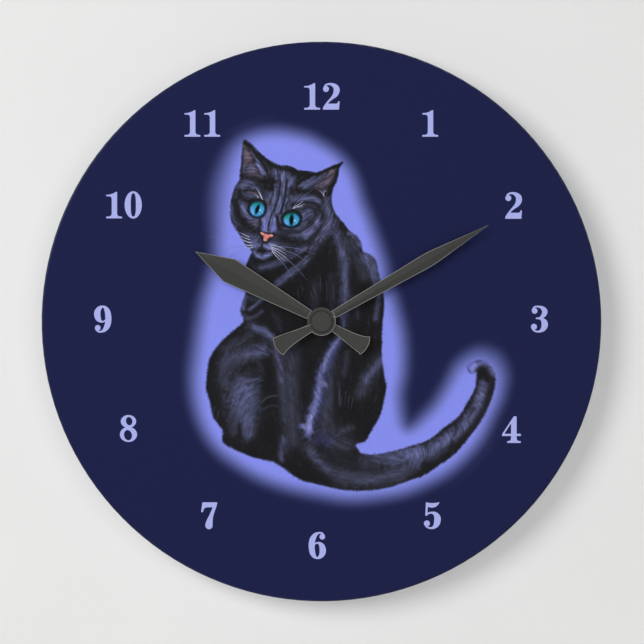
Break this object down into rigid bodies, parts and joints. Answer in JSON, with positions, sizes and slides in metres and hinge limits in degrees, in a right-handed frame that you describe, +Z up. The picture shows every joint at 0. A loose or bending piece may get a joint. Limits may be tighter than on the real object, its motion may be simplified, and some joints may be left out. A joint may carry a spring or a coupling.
{
  "type": "wall clock",
  "caption": "Round frameless wall clock: printed plastic dial with a sitting black cat, two dark hands, quartz movement and keyhole hanger.",
  "frame": {"origin": "centre of the hanging hole on the wall plane", "axes": "+Z up, the dial faces -Y, the wall is on the +Y side"},
  "size_m": [0.273, 0.029, 0.273],
  "materials": {
    "printed_acrylic": "polished, printed in full colour",
    "hand_metal": "dark grey satin",
    "brass": "turned",
    "black_rubber": "matt",
    "zinc_steel": "zinc plated",
    "case_plastic": "spark-eroded black",
    "screw_steel": "plated",
    "knob_plastic": "satin black",
    "cell_can": "nickel plated",
    "cell_sleeve": "printed film",
    "contact_steel": "nickel plated",
    "board": "green solder mask",
    "epoxy": "black potting",
    "crystal_can": "bright",
    "bobbin_plastic": "natural",
    "copper_wire": "enamelled copper",
    "motor_iron": "punched sheet",
    "ferrite": "sintered",
    "wheel_plastic": "natural acetal",
    "bridge_plastic": "natural",
    "arbor_steel": "ground"
  },
  "bodies": {
    "clock_body": {"dial_disc": "printed_acrylic", "shaft_nut": "brass", "brass_washer": "brass", "rubber_washer": "black_rubber", "hanger_plate": "zinc_steel", "movement_case": "case_plastic", "shaft_bushing": "brass", "back_cover": "case_plastic", "cover_screws": "screw_steel", "positive_contact": "contact_steel", "negative_contact": "contact_steel", "circuit_board": "board", "chip_blob": "epoxy", "quartz_crystal": "crystal_can", "coil_bobbin": "bobbin_plastic", "coil_winding": "copper_wire", "coil_core": "motor_iron", "stator": "motor_iron", "stator_screws": "screw_steel", "train_bridge": "bridge_plastic", "bridge_screws": "screw_steel"},
    "minute_assembly": {"minute_hand": "hand_metal", "minute_collet": "brass", "centre_cap": "hand_metal", "minute_cannon": "brass", "clutch_spring": "arbor_steel", "centre_wheel": "wheel_plastic"},
    "hour_assembly": {"hour_hand": "hand_metal", "hour_collet": "brass", "hour_wheel": "wheel_plastic"},
    "motion_assembly": {"motion_wheel": "wheel_plastic"},
    "knob_assembly": {"setting_knob": "knob_plastic"},
    "third_assembly": {"third_wheel": "wheel_plastic"},
    "seconds_assembly": {"seconds_wheel": "wheel_plastic", "seconds_arbor": "arbor_steel"},
    "intermediate_assembly": {"intermediate_wheel": "wheel_plastic"},
    "rotor_assembly": {"rotor_magnet": "ferrite", "rotor_pinion": "wheel_plastic"},
    "cell": {"battery_can": "cell_can", "battery_sleeve": "cell_sleeve"}
  },
  "joints": [
    {"name": "minute_turn", "type": "hinge", "parent": "clock_body", "child": "minute_assembly", "pos_m": [0, -0.02, -0.04], "axis": [0, 1, 0], "continuous": true},
    {"name": "hour_turn", "type": "hinge", "parent": "clock_body", "child": "hour_assembly", "pos_m": [0, -0.02, -0.04], "axis": [0, 1, 0], "continuous": true},
    {"name": "motion_turn", "type": "hinge", "parent": "clock_body", "child": "motion_assembly", "pos_m": [0.009, -0.012, -0.04], "axis": [0, 1, 0], "continuous": true},
    {"name": "knob_turn", "type": "hinge", "parent": "clock_body", "child": "knob_assembly", "pos_m": [0.01746, -0.006, -0.03692], "axis": [0, 1, 0], "continuous": true},
    {"name": "third_turn", "type": "hinge", "parent": "clock_body", "child": "third_assembly", "pos_m": [0.0045, -0.008, -0.03221], "axis": [0, 1, 0], "continuous": true},
    {"name": "seconds_turn", "type": "hinge", "parent": "clock_body", "child": "seconds_assembly", "pos_m": [0, -0.006, -0.04], "axis": [0, 1, 0], "continuous": true},
    {"name": "intermediate_turn", "type": "hinge", "parent": "clock_body", "child": "intermediate_assembly", "pos_m": [-0.00624, -0.005, -0.0364], "axis": [0, 1, 0], "continuous": true},
    {"name": "rotor_turn", "type": "hinge", "parent": "clock_body", "child": "rotor_assembly", "pos_m": [-0.01157, -0.006, -0.03332], "axis": [0, 1, 0], "continuous": true},
    {"name": "cell_slide", "type": "slide", "parent": "clock_body", "child": "cell", "axis": [0, 1, 0], "range_m": [0, 0.018]}
  ],
  "couplings": [
    {"joint": "hour_turn", "follows": "minute_turn", "ratio": 0.083333},
    {"joint": "motion_turn", "follows": "minute_turn", "ratio": -0.33333},
    {"joint": "knob_turn", "follows": "minute_turn", "ratio": 1},
    {"joint": "third_turn", "follows": "minute_turn", "ratio": -7.5},
    {"joint": "seconds_turn", "follows": "minute_turn", "ratio": 60},
    {"joint": "intermediate_turn", "follows": "minute_turn", "ratio": -300},
    {"joint": "rotor_turn", "follows": "minute_turn", "ratio": 1800}
  ]
}
